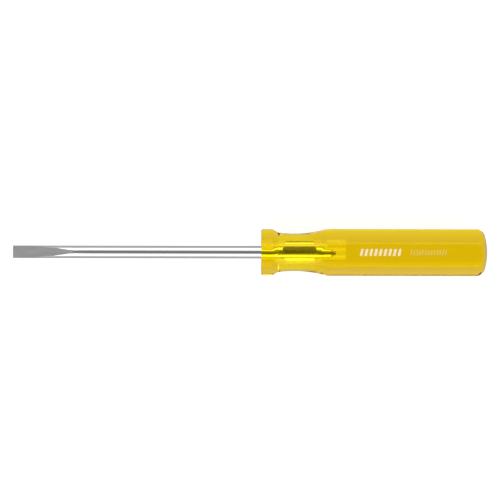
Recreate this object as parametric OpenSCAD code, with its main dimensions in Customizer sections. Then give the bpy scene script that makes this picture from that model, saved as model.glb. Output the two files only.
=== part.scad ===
// Flat-tip screwdriver: a round steel blade pressed into a transparent hexagonal bar handle.
// The axis lies along X with the tip towards -X. The handle rests on one flat at z = 0,
// and the origin is below the middle of the overall length.

/* [Blade] */
// Diameter of the round blade
blade_d = 5; // [4.5:0.1:5.5]
// Length of blade that stands out of the handle
blade_len = 100; // [75:5:150]

/* [Tip] */
// Thickness at the very end of the tip
tip_t = 0.8; // [0.6:0.05:1]
// Length of the gently tapered end of the tip
land_len = 5; // [3:0.5:6]
// Thickness where that end meets the main taper
land_t = 1.6; // [1.2:0.05:1.8]
// Distance from the end of the tip to the end of the main taper
taper_len = 12.5; // [10:0.5:15]
// Thickness at the end of the main taper
taper_t = 3.3; // [3:0.1:3.8]
// Length of the ground faces
grind_len = 24.5; // [20:0.5:26]
// Turn of the tip's faces from the handle's flats, which the assembly leaves to chance
tip_turn = -9.5; // [-30:0.5:30]

/* [Tang] */
// Length of blade hidden in the handle
tang_len = 30.1; // [28:0.1:32]
// Length of the tapered point of the tang
point_len = 2; // [1.5:0.1:4]
// Diameter of the blunt end of the point
point_d = 2; // [1:0.1:2.5]
// Distance from the handle's front to the start of the swaged wings
wing_start = 8.3; // [6:0.1:10]
// Length of the wings
wing_len = 14.5; // [12:0.5:16]
// Width across the pair of wings
wing_span = 6; // [5.8:0.1:6.4]
// Thickness of the wings
wing_t = 1.4; // [1:0.1:2]
// Thickness left between the two swaged flats
swage_t = 4.4; // [4:0.1:4.4]
// Length of the slope at each end of a wing
wing_ramp = 1.2; // [0.8:0.1:1.6]
// Turn of the wings from the tip's faces
wing_turn = -19; // [-30:1:30]

/* [Handle] */
// Length of the handle
handle_len = 91; // [85:1:110]
// Distance across the flats of the hexagonal bar
across_flats = 17.2; // [16.5:0.1:18]
// Radius that rounds the bar's six corners
corner_r = 2.6; // [2:0.1:3]
// Depth of the bore that holds the tang
bore_len = 34.1; // [33:0.1:40]

/* [Collar and neck] */
// Diameter that the collar's corners are turned to
collar_d = 18.6; // [18.2:0.1:18.8]
// Length of the collar, up to the top of its shoulder
collar_len = 4.6; // [4:0.1:5.5]
// Radius on the collar's front edge
collar_edge_r = 0.8; // [0.5:0.1:1.2]
// Distance from the handle's front to the foot of the shoulder
shoulder_len = 6.6; // [6.2:0.1:7]
// Radius at the top of the shoulder
shoulder_top_r = 1.4; // [0.8:0.1:1.6]
// Radius at the foot of the shoulder
shoulder_foot_r = 0.9; // [0.5:0.1:2.6]
// Diameter at the narrowest point of the neck
neck_d = 15; // [14.6:0.1:15.6]
// Distance from the handle's front to the narrowest point of the neck
neck_pos = 13.2; // [12.5:0.1:14]
// Radius of the long curve of the neck
neck_arc_r = 47; // [42:1:52]

/* [Butt end] */
// Radius between the handle's sides and its domed end
butt_corner_r = 4; // [3:0.1:5]
// Radius of the dome
butt_dome_r = 25; // [20:1:40]

/* [Stamped marks] */
// Distance from the handle's front to the first broad bar
bars_start = 39.5; // [36:0.1:42]
// Number of broad bars
bar_count = 9; // [5:1:9]
// Width of a broad bar
bar_w = 1.1; // [0.6:0.1:1.2]
// Distance from one broad bar to the next
bar_pitch = 1.9; // [1.8:0.05:2]
// Height of a broad bar, across the flat
bar_h = 2.9; // [2:0.1:3]
// Distance from the handle's front to the first thin tick
ticks_start = 59.9; // [58:0.1:62]
// Number of thin ticks
tick_count = 13; // [5:1:15]
// Width of a thin tick
tick_w = 0.4; // [0.3:0.05:0.5]
// Distance from one thin tick to the next
tick_pitch = 1.15; // [1:0.05:1.3]
// Height of a thin tick, across the flat
tick_h = 2.3; // [1.5:0.1:2.6]
// Sideways lean of the bars and ticks over their height
mark_lean = 0.6; // [0:0.1:0.8]
// Distance of the marks from the flat's middle line
mark_offset = 1.3; // [-1.5:0.1:1.5]
// Depth that the marks are pressed into the flat
mark_depth = 0.16; // [0.14:0.01:0.2]
// Thickness of the foil left in them
foil_t = 0.1; // [0.08:0.01:0.12]

/* [Hidden] */

chrome_silver = [0.78, 0.79, 0.80];
acetate_yellow = [0.85, 0.70, 0.03, 0.8];
foil_white = [0.96, 0.94, 0.86];
foil_pale = [0.93, 0.84, 0.62];

blade_r = blade_d / 2;
collar_r = collar_d / 2;
flat_r = across_flats / 2;
corner_pos = (flat_r - corner_r) / cos(30);
bar_r = corner_pos + corner_r;
turned_r = bar_r + 0.05;
wing_end = wing_start + wing_len;
front_x = (blade_len - handle_len) / 2;
cut_margin = 1;
curve_steps = 10;
$fn = 96;

// Points of an arc about a centre, from one angle to another
function arc(centre, r, from, to, steps = curve_steps) =
    [for (i = [0:steps]) let (a = from + (to - from) * i / steps) centre + r * [cos(a), sin(a)]];

function unit(v) = v / norm(v);

// Points that round the corner b, between its neighbours a and c, to the radius r
function rounded(a, b, c, r, steps = curve_steps) =
    let (u = unit(a - b), v = unit(c - b), half = acos(u * v) / 2)
    let (centre = b + unit(u + v) * r / sin(half), reach = r / tan(half))
    let (p = b + u * reach - centre, q = b + v * reach - centre)
    let (from = atan2(p[1], p[0]), turn = atan2(q[1], q[0]) - from)
    let (sweep = turn > 180 ? turn - 360 : turn < -180 ? turn + 360 : turn)
    arc(centre, r, from, from + sweep, steps);

// Radius of the neck's long curve at a distance from the handle's front
function neck_r(x) = neck_d / 2 + neck_arc_r - sqrt(neck_arc_r * neck_arc_r - (x - neck_pos) * (x - neck_pos));

// Distance from the handle's front at which the neck's curve reaches a radius, behind the narrowest point
function neck_x(r) = neck_pos + sqrt(pow(neck_arc_r, 2) - pow(neck_d / 2 + neck_arc_r - r, 2));

// The lathe's outline of the handle, as [distance from the front, radius]
function turned_outline() =
    let (dome_centre = [handle_len - butt_dome_r, 0])
    let (corner_y = turned_r - butt_corner_r)
    let (corner_x = dome_centre[0] + sqrt(pow(butt_dome_r - butt_corner_r, 2) - corner_y * corner_y))
    let (meet = asin(corner_y / (butt_dome_r - butt_corner_r)))
    let (neck_from = shoulder_len + 1.5, neck_to = neck_x(turned_r), neck_steps = 2 * curve_steps)
    let (neck = [for (i = [0:neck_steps]) let (x = neck_from + (neck_to - neck_from) * i / neck_steps) [x, neck_r(x)]])
    let (top = [collar_len, collar_r], foot = [shoulder_len, neck_r(shoulder_len)])
    concat(
        [[0, 0]],
        arc([collar_edge_r, collar_r - collar_edge_r], collar_edge_r, 180, 90),
        rounded([0, collar_r], top, foot, shoulder_top_r),
        rounded(top, foot, neck[0], shoulder_foot_r),
        neck,
        arc([corner_x, corner_y], butt_corner_r, 90, meet),
        arc(dome_centre, butt_dome_r, meet, 0)
    );

// Places a shape drawn from the handle's front along X, about the axis
module at_handle_front() {
    translate([front_x, 0, flat_r]) children();
}

// Lays a shape drawn along Z down along X
module along_x() {
    rotate([0, 90, 0]) children();
}

// A prism whose outline is drawn in the XZ plane, centred on Y
module side_prism(outline, width) {
    rotate([90, 0, 0]) linear_extrude(height = width, center = true) polygon(outline);
}

module hexagonal_bar() {
    outline = [for (k = [0:5]) each arc(corner_pos * [cos(30 + 60 * k), sin(30 + 60 * k)], corner_r, 60 * k, 60 * k + 60)];
    along_x() linear_extrude(height = handle_len) polygon(outline);
}

module turned_blank() {
    along_x() rotate_extrude() polygon([for (p = turned_outline()) [p[1], p[0]]]);
}

// The pair of wings that keeps the tang from turning, as a plate across the axis
module wing_plate() {
    reach = wing_span / 2;
    outline = [
        [wing_start, 0],
        [wing_start + wing_ramp, reach],
        [wing_end - wing_ramp, reach],
        [wing_end, 0],
        [wing_end - wing_ramp, -reach],
        [wing_start + wing_ramp, -reach]
    ];
    rotate([tip_turn + wing_turn, 0, 0]) linear_extrude(height = wing_t, center = true) polygon(outline);
}

// The steel that the swaging dies press away above and below the wings
module swage_cuts() {
    depth = (blade_d - swage_t) / 2;
    run = wing_ramp * (1 + cut_margin / depth) / 2;
    outline = [
        [wing_start + wing_ramp, swage_t / 2],
        [wing_end - wing_ramp, swage_t / 2],
        [wing_end - wing_ramp + run, blade_r + cut_margin],
        [wing_start + wing_ramp - run, blade_r + cut_margin]
    ];
    rotate([tip_turn + wing_turn, 0, 0]) {
        for (turn = [0, 180]) {
            rotate([turn, 0, 0]) side_prism(outline, 2 * blade_d);
        }
    }
}

// The steel that is ground away above and below the tip
module grind_cuts() {
    last_slope = (blade_d - taper_t) / 2 / (grind_len - taper_len);
    outline = [
        [-cut_margin, tip_t / 2],
        [0, tip_t / 2],
        [land_len, land_t / 2],
        [taper_len, taper_t / 2],
        [grind_len + cut_margin / last_slope, blade_r + cut_margin],
        [-cut_margin, blade_r + cut_margin]
    ];
    translate([-blade_len, 0, 0]) rotate([tip_turn, 0, 0]) {
        for (turn = [0, 180]) {
            rotate([turn, 0, 0]) side_prism(outline, 2 * blade_d);
        }
    }
}

module round_bar() {
    translate([-blade_len, 0, 0]) along_x() cylinder(r = blade_r, h = blade_len + tang_len - point_len);
    translate([tang_len - point_len, 0, 0]) along_x() cylinder(r1 = blade_r, r2 = point_d / 2, h = point_len);
}

module blade() {
    color(chrome_silver) at_handle_front() {
        difference() {
            union() {
                round_bar();
                wing_plate();
            }
            swage_cuts();
            grind_cuts();
        }
    }
}

// A row of leaning marks on the handle's upper flat, from one depth below it up to another
module mark_row(start, count, width, pitch, height, low, high) {
    lean = mark_lean * height / bar_h;
    outline = [[0, 0], [width, 0], [width + lean, height], [lean, height]];
    for (i = [0:count - 1]) {
        translate([start + i * pitch, mark_offset - height / 2, flat_r - low])
            linear_extrude(height = low - high) polygon(outline);
    }
}

module bar_row(low, high) {
    mark_row(bars_start, bar_count, bar_w, bar_pitch, bar_h, low, high);
}

module tick_row(low, high) {
    mark_row(ticks_start, tick_count, tick_w, tick_pitch, tick_h, low, high);
}

module handle() {
    color(acetate_yellow) at_handle_front() {
        difference() {
            intersection() {
                turned_blank();
                hexagonal_bar();
            }
            translate([-cut_margin, 0, 0]) along_x() cylinder(r = blade_r, h = bore_len + cut_margin);
            wing_plate();
            bar_row(mark_depth, -cut_margin);
            tick_row(mark_depth, -cut_margin);
        }
    }
}

module stamped_bars() {
    color(foil_white) at_handle_front() bar_row(mark_depth, mark_depth - foil_t);
}

module stamped_ticks() {
    color(foil_pale) at_handle_front() tick_row(mark_depth, mark_depth - foil_t);
}

blade();
handle();
stamped_bars();
stamped_ticks();
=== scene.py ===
"""Looks of a flat-tip screwdriver: a chromed blade pressed into a clear yellow hexagonal handle.

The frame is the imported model: the axis lies along X with the tip towards -X, and the handle rests
on a flat at z = 0. Shapes are worked out in millimetres, about the axis and from the handle's front,
and placed in the frame at the end.
"""

import math

import bmesh
import bpy
import numpy as np
from mathutils import Matrix, Vector


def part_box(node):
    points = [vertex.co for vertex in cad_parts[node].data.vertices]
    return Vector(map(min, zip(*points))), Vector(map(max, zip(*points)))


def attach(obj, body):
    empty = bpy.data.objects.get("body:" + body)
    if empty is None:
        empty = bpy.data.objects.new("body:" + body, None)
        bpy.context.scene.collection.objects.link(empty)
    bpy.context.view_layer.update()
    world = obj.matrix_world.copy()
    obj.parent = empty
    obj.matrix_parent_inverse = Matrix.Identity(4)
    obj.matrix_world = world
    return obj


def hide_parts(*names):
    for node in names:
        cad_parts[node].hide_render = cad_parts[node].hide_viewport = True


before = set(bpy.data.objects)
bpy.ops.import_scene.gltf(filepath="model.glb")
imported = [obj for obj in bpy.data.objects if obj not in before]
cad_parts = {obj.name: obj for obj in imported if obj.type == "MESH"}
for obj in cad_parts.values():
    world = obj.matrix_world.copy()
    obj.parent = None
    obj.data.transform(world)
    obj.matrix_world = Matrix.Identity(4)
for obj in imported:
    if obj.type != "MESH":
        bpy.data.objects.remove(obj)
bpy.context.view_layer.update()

# ---------------------------------------------------------------- sizes, in millimetres

MM = 0.001
blade_low, blade_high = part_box("blade")
handle_low, handle_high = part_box("handle")

# The hexagonal bar of the handle: its flats and its rounded corners
FRONT_X = handle_low.x / MM
AXIS_Z = (handle_low.z + handle_high.z) / 2 / MM
HANDLE_LEN = (handle_high.x - handle_low.x) / MM
FLAT_R = (handle_high.z - handle_low.z) / 2 / MM
BAR_R = (handle_high.y - handle_low.y) / 2 / MM
CORNER_R = 2.6
CORNER_POS = BAR_R - CORNER_R

# The lathe's work on it; behind the neck the tool passes just clear of the corners
LATHE_GAP = 0.05
TURNED_R = BAR_R + LATHE_GAP
EDGE_SOFTNESS = 0.25  # how softly the turned surfaces meet the bar's own
COLLAR_R = 9.3
COLLAR_LEN = 4.6
COLLAR_EDGE_R = 0.8
SHOULDER_LEN = 6.6
SHOULDER_TOP_R = 1.4
SHOULDER_FOOT_R = 0.9
FOOT_ROOM = 1.5  # from the shoulder's foot to the first point of the neck
NECK_R = 7.5
NECK_POS = 13.2
NECK_ARC_R = 47.0
ARCH_LEN = 5.0  # the end of the neck, where the flats begin as arches
BUTT_CORNER_R = 4.0
BUTT_DOME_R = 25.0

# The tang with its wings, and the bore that holds it with a film of air round it
BLADE_R = 2.5
BLADE_LEN = FRONT_X - blade_low.x / MM
TANG_LEN = blade_high.x / MM - FRONT_X
POINT_LEN = 2.0
POINT_R = 1.0
BORE_LEN = 34.1
BORE_GAP = 0.03
WING_START = 8.3
WING_LEN = 14.5
WING_REACH = 3.0
WING_T = 1.4
WING_RAMP = 1.2
WING_TURN = math.radians(-19)
SWAGE_T = 4.4
SWAGE_MARGIN = 0.02  # a pressed face is further than this inside the round bar

# The ground tip
TIP_TURN = math.radians(-9.5)
TIP_CHAMFER = 0.06
TIP_T = 0.8
LAND_LEN = 5.0
LAND_T = 1.6
TAPER_LEN = 12.5
TAPER_T = 3.3
GRIND_LEN = 24.5
GRIND_BLEND = 2.0  # half the length over which a change of slope is blended

# The recesses of the foil, which reach a hair into it
FOIL_OVERLAP = 0.01
CUTTER_HEIGHT = 0.5

# ---------------------------------------------------------------- how the shapes are meshed

ARC_STEPS = 96  # down each round side of the blade, and half of what a ring of the bore has
FLAT_STEPS = 16  # across each ground face
BAR_STEPS = ARC_STEPS // 6  # along each flat of the bar and round each corner, to match the bore
BORE_SHIFT = 18  # points by which the bore's rings are turned, to start beside the bar's
DOME_GAP = 0.4  # degrees between the last ring of the dome and the axis
TINY = 1e-6  # the least sine or cosine that is divided by
WELD = 1e-7  # in metres: points nearer than this are one point
WELD_DIGITS = 7

# Places of the blade's materials in its list, after the chrome
BLASTED = 1
SWAGED = 2

# ---------------------------------------------------------------- the studio, in metres and degrees

STUDIO_LEAN = 8.5
FLOOR_HALF = 3.0
FLOOR_DROP = 0.00005  # keeps the resting flat out of the floor's own plane
SOFTBOX_DISTANCE = 0.55
SOFTBOX_LEN = 1.6

# ---------------------------------------------------------------- small helpers


def arc(centre, radius, start, end, steps):
    """Points of an arc about a centre, between two angles in degrees."""
    angles = np.radians(np.linspace(start, end, steps + 1))
    return [(centre[0] + radius * math.cos(a), centre[1] + radius * math.sin(a)) for a in angles]


def rounded(before, corner, after, radius, steps):
    """Points that round a corner of an outline, between its two neighbours."""
    before, corner, after = (np.array(p, float) for p in (before, corner, after))
    back = (before - corner) / np.linalg.norm(before - corner)
    ahead = (after - corner) / np.linalg.norm(after - corner)
    half = math.acos(float(back @ ahead)) / 2
    middle = (back + ahead) / np.linalg.norm(back + ahead)
    centre = corner + middle * radius / math.sin(half)
    first = corner + back * radius / math.tan(half) - centre
    last = corner + ahead * radius / math.tan(half) - centre
    start = math.degrees(math.atan2(first[1], first[0]))
    turn = math.degrees(math.atan2(last[1], last[0])) - start
    sweep = (turn + 180) % 360 - 180
    return arc(centre, radius, start, start + sweep, steps)


def soft_min(a, b, softness):
    """The smaller of two lengths, with the crease between them rounded."""
    overlap = np.maximum(softness - np.abs(a - b), 0) / softness
    return np.minimum(a, b) - overlap**2 * softness / 4


def mesh_object(name, vertices, faces):
    """A mesh from points in millimetres about the axis, placed in the frame."""
    placed = np.asarray(vertices, float) + np.array([FRONT_X, 0, AXIS_Z])
    mesh = bpy.data.meshes.new(name)
    mesh.from_pydata((placed * MM).tolist(), [], faces)
    mesh.polygons.foreach_set("use_smooth", [True] * len(mesh.polygons))
    mesh.update()
    piece = bpy.data.objects.new(name, mesh)
    bpy.context.scene.collection.objects.link(piece)
    return piece


def skin(rings):
    """Faces between rings of equal count, with a fan over the first ring and one over the last."""
    count = len(rings[0])
    vertices = [point for points in rings for point in points]
    faces = []
    for band in range(len(rings) - 1):
        low, high = band * count, (band + 1) * count
        for i in range(count):
            j = (i + 1) % count
            faces.append((low + i, low + j, high + j, high + i))
    vertices.append(np.mean(rings[0], axis=0))
    faces += [(len(vertices) - 1, (i + 1) % count, i) for i in range(count)]
    vertices.append(np.mean(rings[-1], axis=0))
    last = (len(rings) - 1) * count
    faces += [(len(vertices) - 1, last + i, last + (i + 1) % count) for i in range(count)]
    return vertices, faces


# ---------------------------------------------------------------- shapes


def bar_angles():
    """Angles round the bar, evenly spaced along its flats and by normal round its corners."""
    half_flat = CORNER_POS * math.sin(math.radians(30))
    angles = []
    for side in range(6):
        flat = math.radians(60 * side)
        for share in np.linspace(-1, 1, BAR_STEPS, endpoint=False):
            angles.append(flat + math.atan2(share * half_flat, FLAT_R))
        corner = flat + math.radians(30)
        for normal in np.radians(np.linspace(-30, 30, BAR_STEPS, endpoint=False)):
            out = CORNER_POS + CORNER_R * math.cos(normal)
            aside = CORNER_R * math.sin(normal)
            angles.append(corner + math.atan2(aside, out))
    return np.array(angles)


def bar_radius(angles):
    """Radius of the rounded hexagon at each angle, with flats facing up and down."""
    from_flat = (angles + math.pi / 6) % (math.pi / 3) - math.pi / 6
    from_corner = math.pi / 6 - np.abs(from_flat)
    on_flat = FLAT_R / np.cos(from_flat)
    reach = CORNER_R**2 - (CORNER_POS * np.sin(from_corner)) ** 2
    on_corner = CORNER_POS * np.cos(from_corner) + np.sqrt(np.maximum(reach, 0))
    edge = math.atan2(CORNER_POS * math.sin(math.pi / 6), FLAT_R)
    return np.where(np.abs(from_flat) < edge, on_flat, on_corner)


def neck_radius(x):
    """Radius of the neck's long curve at a distance from the handle's front."""
    return NECK_R + NECK_ARC_R - math.sqrt(NECK_ARC_R**2 - (x - NECK_POS) ** 2)


def turned_profile():
    """The lathe's outline, from beside the bore's mouth over the collar and neck to the butt's middle.

    The points are closest where the neck runs out into the bar, to keep the flats' arches smooth.
    """
    neck_start = SHOULDER_LEN + FOOT_ROOM
    neck_end = NECK_POS + math.sqrt(NECK_ARC_R**2 - (NECK_R + NECK_ARC_R - TURNED_R) ** 2)
    arch_start = neck_end - ARCH_LEN
    top = (COLLAR_LEN, COLLAR_R)
    foot = (SHOULDER_LEN, neck_radius(SHOULDER_LEN))
    neck = [(x, neck_radius(x)) for x in np.linspace(neck_start, arch_start, num=36, endpoint=False)]
    arch = [(x, neck_radius(x)) for x in np.linspace(arch_start, neck_end, num=60)]
    dome_x = HANDLE_LEN - BUTT_DOME_R
    corner_y = TURNED_R - BUTT_CORNER_R
    corner_x = dome_x + math.sqrt((BUTT_DOME_R - BUTT_CORNER_R) ** 2 - corner_y**2)
    meet = math.degrees(math.asin(corner_y / (BUTT_DOME_R - BUTT_CORNER_R)))
    edge_r = COLLAR_R - COLLAR_EDGE_R
    front = [(0, r) for r in np.linspace(BLADE_R + BORE_GAP, edge_r, num=6)[1:-1]]
    body = [(x, TURNED_R) for x in np.linspace(neck_end, corner_x, num=24)[1:-1]]
    return np.array(
        front
        + arc((COLLAR_EDGE_R, edge_r), COLLAR_EDGE_R, 180, 90, steps=8)
        + rounded((0, COLLAR_R), top, foot, SHOULDER_TOP_R, steps=10)
        + rounded(top, foot, neck[0], SHOULDER_FOOT_R, steps=10)
        + neck
        + arch
        + body
        + arc((corner_x, corner_y), BUTT_CORNER_R, 90, meet, steps=28)
        + arc((dome_x, 0), BUTT_DOME_R, meet, DOME_GAP, steps=16)[1:]
    )


def wing_ease(x):
    """How far the wings are raised at a distance from the handle's front, from 0 to 1."""
    return float(np.clip(min(x - WING_START, WING_START + WING_LEN - x) / WING_RAMP, 0, 1))


def wing_radius(angles, x):
    """Radius of the plate that the two wings make, by angle from the wings."""
    sine = np.maximum(np.abs(np.sin(angles)), TINY)
    cosine = np.maximum(np.abs(np.cos(angles)), TINY)
    return np.minimum(WING_REACH * wing_ease(x) / cosine, WING_T / 2 / sine)


def blade_section_radius(angles, x):
    """Radius of the tang at a distance from the handle's front, by angle from the wings."""
    from_end = np.clip((TANG_LEN - x) / POINT_LEN, 0, 1)
    sine = np.maximum(np.abs(np.sin(angles)), TINY)
    half_pressed = BLADE_R + (SWAGE_T / 2 - BLADE_R) * wing_ease(x)
    radius = np.minimum(POINT_R + (BLADE_R - POINT_R) * from_end, half_pressed / sine)
    return np.maximum(radius, wing_radius(angles, x))


def bore_section_radius(angles, x):
    """Radius of the bore, which stays round over the pressed flats and is cut only by the wings."""
    return np.maximum(BLADE_R, wing_radius(angles, x)) + BORE_GAP


def stretches(first, ends):
    """Places from the first one on, in even steps up to each end, which comes with its steps."""
    places = [first]
    for end, steps in ends:
        places += list(np.linspace(places[-1], end, steps + 1)[1:])
    return places


def tang_stations():
    """Distances from the handle's front at which the tang and its bore have a ring."""
    wing_end = WING_START + WING_LEN
    ends = [
        (WING_START, 4),
        (WING_START + WING_RAMP, 10),
        (wing_end - WING_RAMP, 10),
        (wing_end, 10),
        (TANG_LEN - POINT_LEN, 6),
        (TANG_LEN, 6),
    ]
    return stretches(0.0, ends)


def ring(x, radii, angles):
    """Points round the axis; the angle 0 is straight up and angles turn towards +Y."""
    return np.column_stack([np.full(len(angles), x), radii * np.sin(angles), radii * np.cos(angles)])


def from_wings(angles):
    """Angles measured from the plane of the wings, for angles measured from the tip's normal."""
    return math.pi / 2 - WING_TURN - angles


def blade_ring(x, radii, angles):
    """A ring of the blade or its bore, with its angles measured from the tip's normal."""
    return ring(x, radii, angles - TIP_TURN)


def build_handle():
    """The acetate: the bar turned to the lathe's outline, and the blind bore that holds the tang."""
    outer = bar_angles()
    limits = bar_radius(outer)
    inner = np.roll(np.linspace(0, 2 * math.pi, 2 * ARC_STEPS, endpoint=False), BORE_SHIFT)
    wall_end = TANG_LEN - POINT_LEN
    stations = [x for x in tang_stations() if x < wall_end]
    stations += list(np.linspace(wall_end, BORE_LEN, num=8))
    rings = []
    for x in reversed(stations):
        rings.append(blade_ring(x, bore_section_radius(from_wings(inner), x), inner))
    for x, r in turned_profile():
        radii = np.full(len(outer), r) if x == 0 else soft_min(r, limits, EDGE_SOFTNESS)
        rings.append(ring(x, radii, outer))
    vertices, faces = skin(rings)
    return mesh_object("clear_handle", vertices, faces)


def half_thickness(from_tip):
    """Half the blade's thickness at a distance from the tip's end, blended where the slope changes."""
    marks = [0, LAND_LEN, TAPER_LEN, GRIND_LEN]
    halves = [TIP_T / 2, LAND_T / 2, TAPER_T / 2, BLADE_R]
    blend = min(GRIND_BLEND, from_tip, GRIND_LEN - from_tip)
    near = from_tip + np.linspace(-blend, blend, num=9)
    return float(np.mean(np.interp(near, marks, halves)))


def ground_ring(from_tip, inset):
    """Points round the ground part of the blade, drawn in by an inset and leaned by the tip's turn."""
    half = half_thickness(from_tip) - inset
    radius = BLADE_R - inset
    width = math.sqrt(max(radius**2 - half**2, 0))
    start = math.atan2(width, half)
    side = np.linspace(start, math.pi - start, ARC_STEPS + 1)
    across = np.linspace(width, -width, FLAT_STEPS + 1)[1:-1]
    points = [(radius * math.sin(a), radius * math.cos(a)) for a in side]
    points += [(y, -half) for y in across]
    points += [(-y, -z) for y, z in points]
    cosine, sine = math.cos(TIP_TURN), math.sin(TIP_TURN)
    turned = [(y * cosine - z * sine, y * sine + z * cosine) for y, z in points]
    return np.array([(from_tip - BLADE_LEN, y, z) for y, z in turned])


def build_blade():
    """The steel: the ground tip, the round shank, and the tang with its wings and point."""
    stations = stretches(TIP_CHAMFER, [(LAND_LEN, 8), (TAPER_LEN, 12), (GRIND_LEN, 30)])
    rings = [ground_ring(0, TIP_CHAMFER)] + [ground_ring(from_tip, 0) for from_tip in stations]
    ground_rings = len(rings)
    side = np.linspace(0, math.pi, ARC_STEPS + 1)
    angles = np.concatenate([side, np.full(FLAT_STEPS - 1, math.pi)])
    angles = np.concatenate([angles, angles + math.pi])
    for from_tip in np.linspace(GRIND_LEN, BLADE_LEN, num=12)[1:-1]:
        rings.append(blade_ring(from_tip - BLADE_LEN, np.full(len(angles), BLADE_R), angles))
    for x in tang_stations():
        rings.append(blade_ring(x, blade_section_radius(from_wings(angles), x), angles))
    vertices, faces = skin(rings)
    blade = mesh_object("chromed_blade", vertices, faces)
    count = len(angles)
    tip_fan = len(rings) - 1
    for index, polygon in enumerate(blade.data.polygons):
        band, place = divmod(index, count)
        on_face = band < ground_rings - 1 and place % (count // 2) >= ARC_STEPS
        x, y, z = polygon.center / MM
        if on_face or band == tip_fan:
            polygon.material_index = BLASTED
        elif wing_ease(x - FRONT_X) > 0 and math.hypot(y, z - AXIS_Z) < BLADE_R - SWAGE_MARGIN:
            polygon.material_index = SWAGED
    return blade


def clean(piece, sharp_degrees):
    """Welds repeated points, turns the faces outwards and keeps real edges crisp."""
    bm = bmesh.new()
    bm.from_mesh(piece.data)
    bmesh.ops.remove_doubles(bm, verts=bm.verts, dist=WELD)
    bmesh.ops.dissolve_degenerate(bm, edges=bm.edges, dist=WELD / 10)
    bmesh.ops.recalc_face_normals(bm, faces=bm.faces)
    sharp = math.radians(sharp_degrees)
    for edge in bm.edges:
        if len(edge.link_faces) != 2:
            continue
        one, other = edge.link_faces
        same = one.material_index == other.material_index
        edge.smooth = same and edge.calc_face_angle(0) < sharp
    bm.to_mesh(piece.data)
    bm.free()


def islands(bm):
    """The separate solids of a mesh, each as the set of its vertices."""
    found, placed = [], set()
    for seed in bm.verts:
        if seed in placed:
            continue
        island, stack = set(), [seed]
        while stack:
            vertex = stack.pop()
            if vertex in island:
                continue
            island.add(vertex)
            stack += [edge.other_vert(vertex) for edge in vertex.link_edges]
        placed |= island
        found.append(island)
    return found


def add_cutter(made, island):
    """Adds the prism that presses one upright piece of foil into the flat."""
    floor_z = min(v.co.z for v in island)
    corners = sorted({(round(v.co.x, WELD_DIGITS), round(v.co.y, WELD_DIGITS)) for v in island})
    middle = np.mean(corners, axis=0)
    corners.sort(key=lambda c: math.atan2(c[1] - middle[1], c[0] - middle[0]))
    low, high = [], []
    for x, y in corners:
        x += math.copysign(FOIL_OVERLAP * MM, middle[0] - x)
        y += math.copysign(FOIL_OVERLAP * MM, middle[1] - y)
        low.append(made.verts.new((x, y, floor_z + FOIL_OVERLAP * MM)))
        high.append(made.verts.new((x, y, floor_z + CUTTER_HEIGHT * MM)))
    made.faces.new(low[::-1])
    made.faces.new(high)
    for i in range(len(low)):
        j = (i + 1) % len(low)
        made.faces.new((low[i], low[j], high[j], high[i]))


def mark_cutters():
    """Solids that press the marks into the flat: a hair smaller than the foil, so that it bonds."""
    made = bmesh.new()
    for name in ("stamped_bars", "stamped_ticks"):
        source = bmesh.new()
        source.from_mesh(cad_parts[name].data)
        bmesh.ops.remove_doubles(source, verts=source.verts, dist=WELD)
        for island in islands(source):
            add_cutter(made, island)
        source.free()
    mesh = bpy.data.meshes.new("mark_cutters")
    made.to_mesh(mesh)
    made.free()
    cutters = bpy.data.objects.new("mark_cutters", mesh)
    bpy.context.scene.collection.objects.link(cutters)
    return cutters


def press_marks(handle):
    """Cuts the recesses of the marks into the handle's upper flat."""
    cutters = mark_cutters()
    cut = handle.modifiers.new("pressed_marks", "BOOLEAN")
    cut.operation = "DIFFERENCE"
    cut.solver = "EXACT"
    cut.object = cutters
    bpy.context.view_layer.update()
    evaluated = handle.evaluated_get(bpy.context.evaluated_depsgraph_get())
    mesh = bpy.data.meshes.new_from_object(evaluated)
    handle.modifiers.clear()
    handle.data = mesh
    bpy.data.objects.remove(cutters)


# ---------------------------------------------------------------- materials

# Nearly all of a noise's values lie between these
NOISE_LOW = 0.3
NOISE_HIGH = 0.7


def new_material(name):
    """A new material, with its node tree and its shader."""
    material = bpy.data.materials.new(name)
    material.use_nodes = True
    tree = material.node_tree
    return material, tree, tree.nodes["Principled BSDF"]


def streaks(tree, scale, stretch, detail):
    """Noise in the object's own space, drawn out along the tool's axis."""
    place = tree.nodes.new("ShaderNodeTexCoord")
    mapping = tree.nodes.new("ShaderNodeMapping")
    mapping.inputs["Scale"].default_value = (scale / stretch, scale, scale)
    noise = tree.nodes.new("ShaderNodeTexNoise")
    noise.inputs["Scale"].default_value = 1
    noise.inputs["Detail"].default_value = detail
    tree.links.new(place.outputs["Object"], mapping.inputs["Vector"])
    tree.links.new(mapping.outputs["Vector"], noise.inputs["Vector"])
    return noise.outputs["Fac"]


def spread(tree, value, low, high):
    """Stretches the middle of a noise, where nearly all its values lie, to a range."""
    ranged = tree.nodes.new("ShaderNodeMapRange")
    ranged.inputs["From Min"].default_value = NOISE_LOW
    ranged.inputs["From Max"].default_value = NOISE_HIGH
    ranged.inputs["To Min"].default_value = low
    ranged.inputs["To Max"].default_value = high
    tree.links.new(value, ranged.inputs["Value"])
    return ranged.outputs["Result"]


def roughen(tree, shader, noise, low, high):
    """Lets the shader's roughness follow a noise, between two values."""
    tree.links.new(spread(tree, noise, low, high), shader.inputs["Roughness"])


def bump(tree, shader, height, distance, strength):
    """Small relief that catches the light but leaves the shape alone."""
    node = tree.nodes.new("ShaderNodeBump")
    node.inputs["Distance"].default_value = distance
    node.inputs["Strength"].default_value = strength
    tree.links.new(height, node.inputs["Height"])
    tree.links.new(node.outputs["Normal"], shader.inputs["Normal"])


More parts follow.
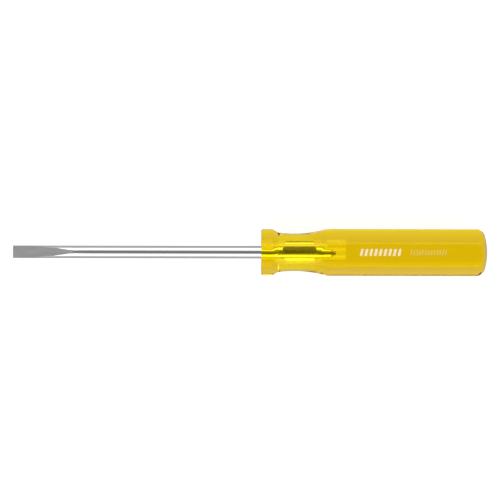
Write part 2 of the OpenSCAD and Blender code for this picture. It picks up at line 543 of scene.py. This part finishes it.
def acetate():
    """Clear yellow acetate, with the faint draw lines of an extruded bar."""
    material, tree, shader = new_material("clear_yellow_acetate")
    shader.inputs["Base Color"].default_value = (1, 1, 1, 1)
    shader.inputs["IOR"].default_value = 1.48
    shader.inputs["Transmission Weight"].default_value = 1
    shader.inputs["Specular Tint"].default_value = (0.7, 0.6, 0.15, 1)
    roughen(tree, shader, streaks(tree, scale=900, stretch=12, detail=4), low=0.01, high=0.03)
    draw_lines = streaks(tree, scale=600, stretch=14, detail=2)
    bump(tree, shader, draw_lines, distance=1e-5, strength=0.35)
    absorb = tree.nodes.new("ShaderNodeVolumeAbsorption")
    absorb.inputs["Color"].default_value = (0.968, 0.917, 0.0, 1)
    absorb.inputs["Density"].default_value = 450
    tree.links.new(absorb.outputs["Volume"], tree.nodes["Material Output"].inputs["Volume"])
    return material


def chrome():
    """Bright plating over polished steel: fine lengthwise polishing marks and faint clouding."""
    material, tree, shader = new_material("bright_chrome")
    shader.inputs["Base Color"].default_value = (0.6, 0.605, 0.62, 1)
    shader.inputs["Metallic"].default_value = 1
    roughen(tree, shader, streaks(tree, scale=700, stretch=8, detail=4), low=0.05, high=0.12)
    polish = streaks(tree, scale=2500, stretch=25, detail=3)
    bump(tree, shader, polish, distance=1e-6, strength=0.2)
    return material


def blasted_steel():
    """The tip's ground faces: fine grit-blasted grey, slightly clouded."""
    material, tree, shader = new_material("blasted_tip")
    shader.inputs["Metallic"].default_value = 0.4
    grain = spread(tree, streaks(tree, scale=6000, stretch=1, detail=5), low=0.9, high=1.1)
    clouds = spread(tree, streaks(tree, scale=500, stretch=3, detail=3), low=0.94, high=1.06)
    product = tree.nodes.new("ShaderNodeMath")
    product.operation = "MULTIPLY"
    tree.links.new(grain, product.inputs[0])
    tree.links.new(clouds, product.inputs[1])
    tint = tree.nodes.new("ShaderNodeMix")
    tint.data_type = "RGBA"
    tint.blend_type = "MULTIPLY"
    tint.inputs["Factor"].default_value = 1
    tint.inputs["A"].default_value = (0.235, 0.235, 0.237, 1)
    tree.links.new(product.outputs["Value"], tint.inputs["B"])
    tree.links.new(tint.outputs["Result"], shader.inputs["Base Color"])
    roughen(tree, shader, streaks(tree, scale=3000, stretch=1, detail=3), low=0.62, high=0.75)
    grit = streaks(tree, scale=9000, stretch=1, detail=4)
    bump(tree, shader, grit, distance=8e-6, strength=0.6)
    return material


def swaged_steel():
    """The pressed stretch of the tang: dull and dark between its wings."""
    material, tree, shader = new_material("swaged_steel")
    shader.inputs["Base Color"].default_value = (0.19, 0.19, 0.195, 1)
    shader.inputs["Metallic"].default_value = 1
    roughen(tree, shader, streaks(tree, scale=2500, stretch=1, detail=3), low=0.6, high=0.72)
    pitting = streaks(tree, scale=6000, stretch=1, detail=3)
    bump(tree, shader, pitting, distance=6e-6, strength=0.5)
    return material


def foil(name, colour, wear):
    """Hot-stamped foil, thin in places."""
    material, tree, shader = new_material(name)
    mix = tree.nodes.new("ShaderNodeMix")
    mix.data_type = "RGBA"
    mix.inputs["A"].default_value = colour
    mix.inputs["B"].default_value = wear
    thin_places = spread(tree, streaks(tree, scale=2500, stretch=1, detail=4), low=-0.3, high=0.7)
    tree.links.new(thin_places, mix.inputs["Factor"])
    tree.links.new(mix.outputs["Result"], shader.inputs["Base Color"])
    shader.inputs["Roughness"].default_value = 0.4
    grain = streaks(tree, scale=8000, stretch=1, detail=3)
    bump(tree, shader, grain, distance=5e-6, strength=0.4)
    return material


def repaint(piece, *materials):
    """Gives a piece new materials; each face keeps its place in the list."""
    places = [polygon.material_index for polygon in piece.data.polygons]
    piece.data.materials.clear()
    for material in materials:
        piece.data.materials.append(material)
    piece.data.polygons.foreach_set("material_index", places)


# ---------------------------------------------------------------- the object

handle = build_handle()
clean(handle, sharp_degrees=40)
press_marks(handle)
clean(handle, sharp_degrees=40)
repaint(handle, acetate())
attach(handle, "root")
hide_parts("handle")

blade = build_blade()
clean(blade, sharp_degrees=30)
repaint(blade, chrome(), blasted_steel(), swaged_steel())
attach(blade, "root")
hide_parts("blade")

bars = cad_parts["stamped_bars"]
white_foil = foil("white_stamping_foil", colour=(0.72, 0.58, 0.38, 1), wear=(0.68, 0.5, 0.14, 1))
repaint(bars, white_foil)
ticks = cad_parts["stamped_ticks"]
pale_foil = foil("pale_stamping_foil", colour=(0.62, 0.45, 0.12, 1), wear=(0.6, 0.4, 0.03, 1))
repaint(ticks, pale_foil)

# ---------------------------------------------------------------- floor, light and camera


def build_floor():
    """A glowing light table, which lights the clear handle from below and isn't seen in reflections."""
    corners = [(-1, -1), (1, -1), (1, 1), (-1, 1)]
    mesh = bpy.data.meshes.new("floor")
    mesh.from_pydata([(FLOOR_HALF * x, FLOOR_HALF * y, 0) for x, y in corners], [], [(0, 1, 2, 3)])
    floor = bpy.data.objects.new("floor", mesh)
    floor.location.z = -FLOOR_DROP
    bpy.context.scene.collection.objects.link(floor)
    material, _, shader = new_material("pale_floor")
    shader.inputs["Base Color"].default_value = (0.16, 0.16, 0.16, 1)
    shader.inputs["Roughness"].default_value = 0.9
    shader.inputs["Specular IOR Level"].default_value = 0.1
    shader.inputs["Emission Color"].default_value = (1, 1, 1, 1)
    shader.inputs["Emission Strength"].default_value = 0.86
    repaint(floor, material)
    floor.visible_glossy = False


def softbox(name, lean, width, energy):
    """A long box of soft light beside the tool, leaned from the vertical, aimed at its axis."""
    data = bpy.data.lights.new(name, "AREA")
    data.shape = "RECTANGLE"
    data.size = SOFTBOX_LEN
    data.size_y = width
    data.energy = energy
    light = bpy.data.objects.new(name, data)
    angle = math.radians(lean)
    out = SOFTBOX_DISTANCE * math.sin(angle)
    up = SOFTBOX_DISTANCE * math.cos(angle)
    light.location = (0, out, AXIS_Z * MM + up)
    light.rotation_euler = (-angle, 0, 0)
    light.visible_camera = False
    bpy.context.scene.collection.objects.link(light)


def ramp_place(degrees):
    """Place on the world's ramp of an angle from the camera's direction: 180 degrees at 0, 0 at 1."""
    return (1 + math.cos(math.radians(degrees))) / 2


def build_world():
    """A studio that is dark behind the camera and below the table, and pale all round.

    Its greys go by the angle from the direction that the camera looks from.
    """
    dark = (0.25, 0.25, 0.25, 1)
    dark_cone = 9
    world = bpy.data.worlds.new("studio")
    world.use_nodes = True
    tree = world.node_tree
    place = tree.nodes.new("ShaderNodeTexCoord")
    along = tree.nodes.new("ShaderNodeVectorMath")
    lean = math.radians(STUDIO_LEAN)
    along.operation = "DOT_PRODUCT"
    along.inputs[1].default_value = (0, math.sin(lean), math.cos(lean))
    halved = tree.nodes.new("ShaderNodeMapRange")
    halved.inputs["From Min"].default_value = -1
    ramp = tree.nodes.new("ShaderNodeValToRGB")
    stops = ramp.color_ramp.elements
    for degrees, grey in ((123, 0.62), (90, 0.85), (28, 0.75)):
        stops.new(ramp_place(degrees)).color = (grey, grey, grey, 1)
    stops[0].color = dark
    stops[-1].position = ramp_place(dark_cone)
    stops[-1].color = dark
    tree.links.new(place.outputs["Generated"], along.inputs[0])
    tree.links.new(along.outputs["Value"], halved.inputs["Value"])
    tree.links.new(halved.outputs["Result"], ramp.inputs["Fac"])
    tree.links.new(ramp.outputs["Color"], tree.nodes["Background"].inputs["Color"])
    bpy.context.scene.world = world


def build_camera():
    """Looks almost straight down, leaned a little from the vertical towards +Y, with a long lens."""
    lean = math.radians(-STUDIO_LEAN)
    roll = math.radians(0.12)
    distance = 2.2386
    above_axis = 0.00089
    data = bpy.data.cameras.new("camera")
    data.lens = 400
    data.sensor_width = 36
    data.clip_start = 0.01
    camera = bpy.data.objects.new("camera", data)
    turn = Matrix.Rotation(lean, 3, "X") @ Matrix.Rotation(roll, 3, "Z")
    target = Vector((0, 0, AXIS_Z * MM)) + turn @ Vector((0, above_axis, 0))
    camera.matrix_world = Matrix.Translation(target + turn @ Vector((0, 0, distance))) @ turn.to_4x4()
    bpy.context.scene.collection.objects.link(camera)
    bpy.context.scene.camera = camera


build_floor()
softbox("softbox_far", lean=STUDIO_LEAN + 55, width=0.36, energy=3.8)
softbox("softbox_near", lean=STUDIO_LEAN - 57, width=0.4, energy=4.2)
build_world()
build_camera()
bpy.context.scene.view_settings.view_transform = "Standard"
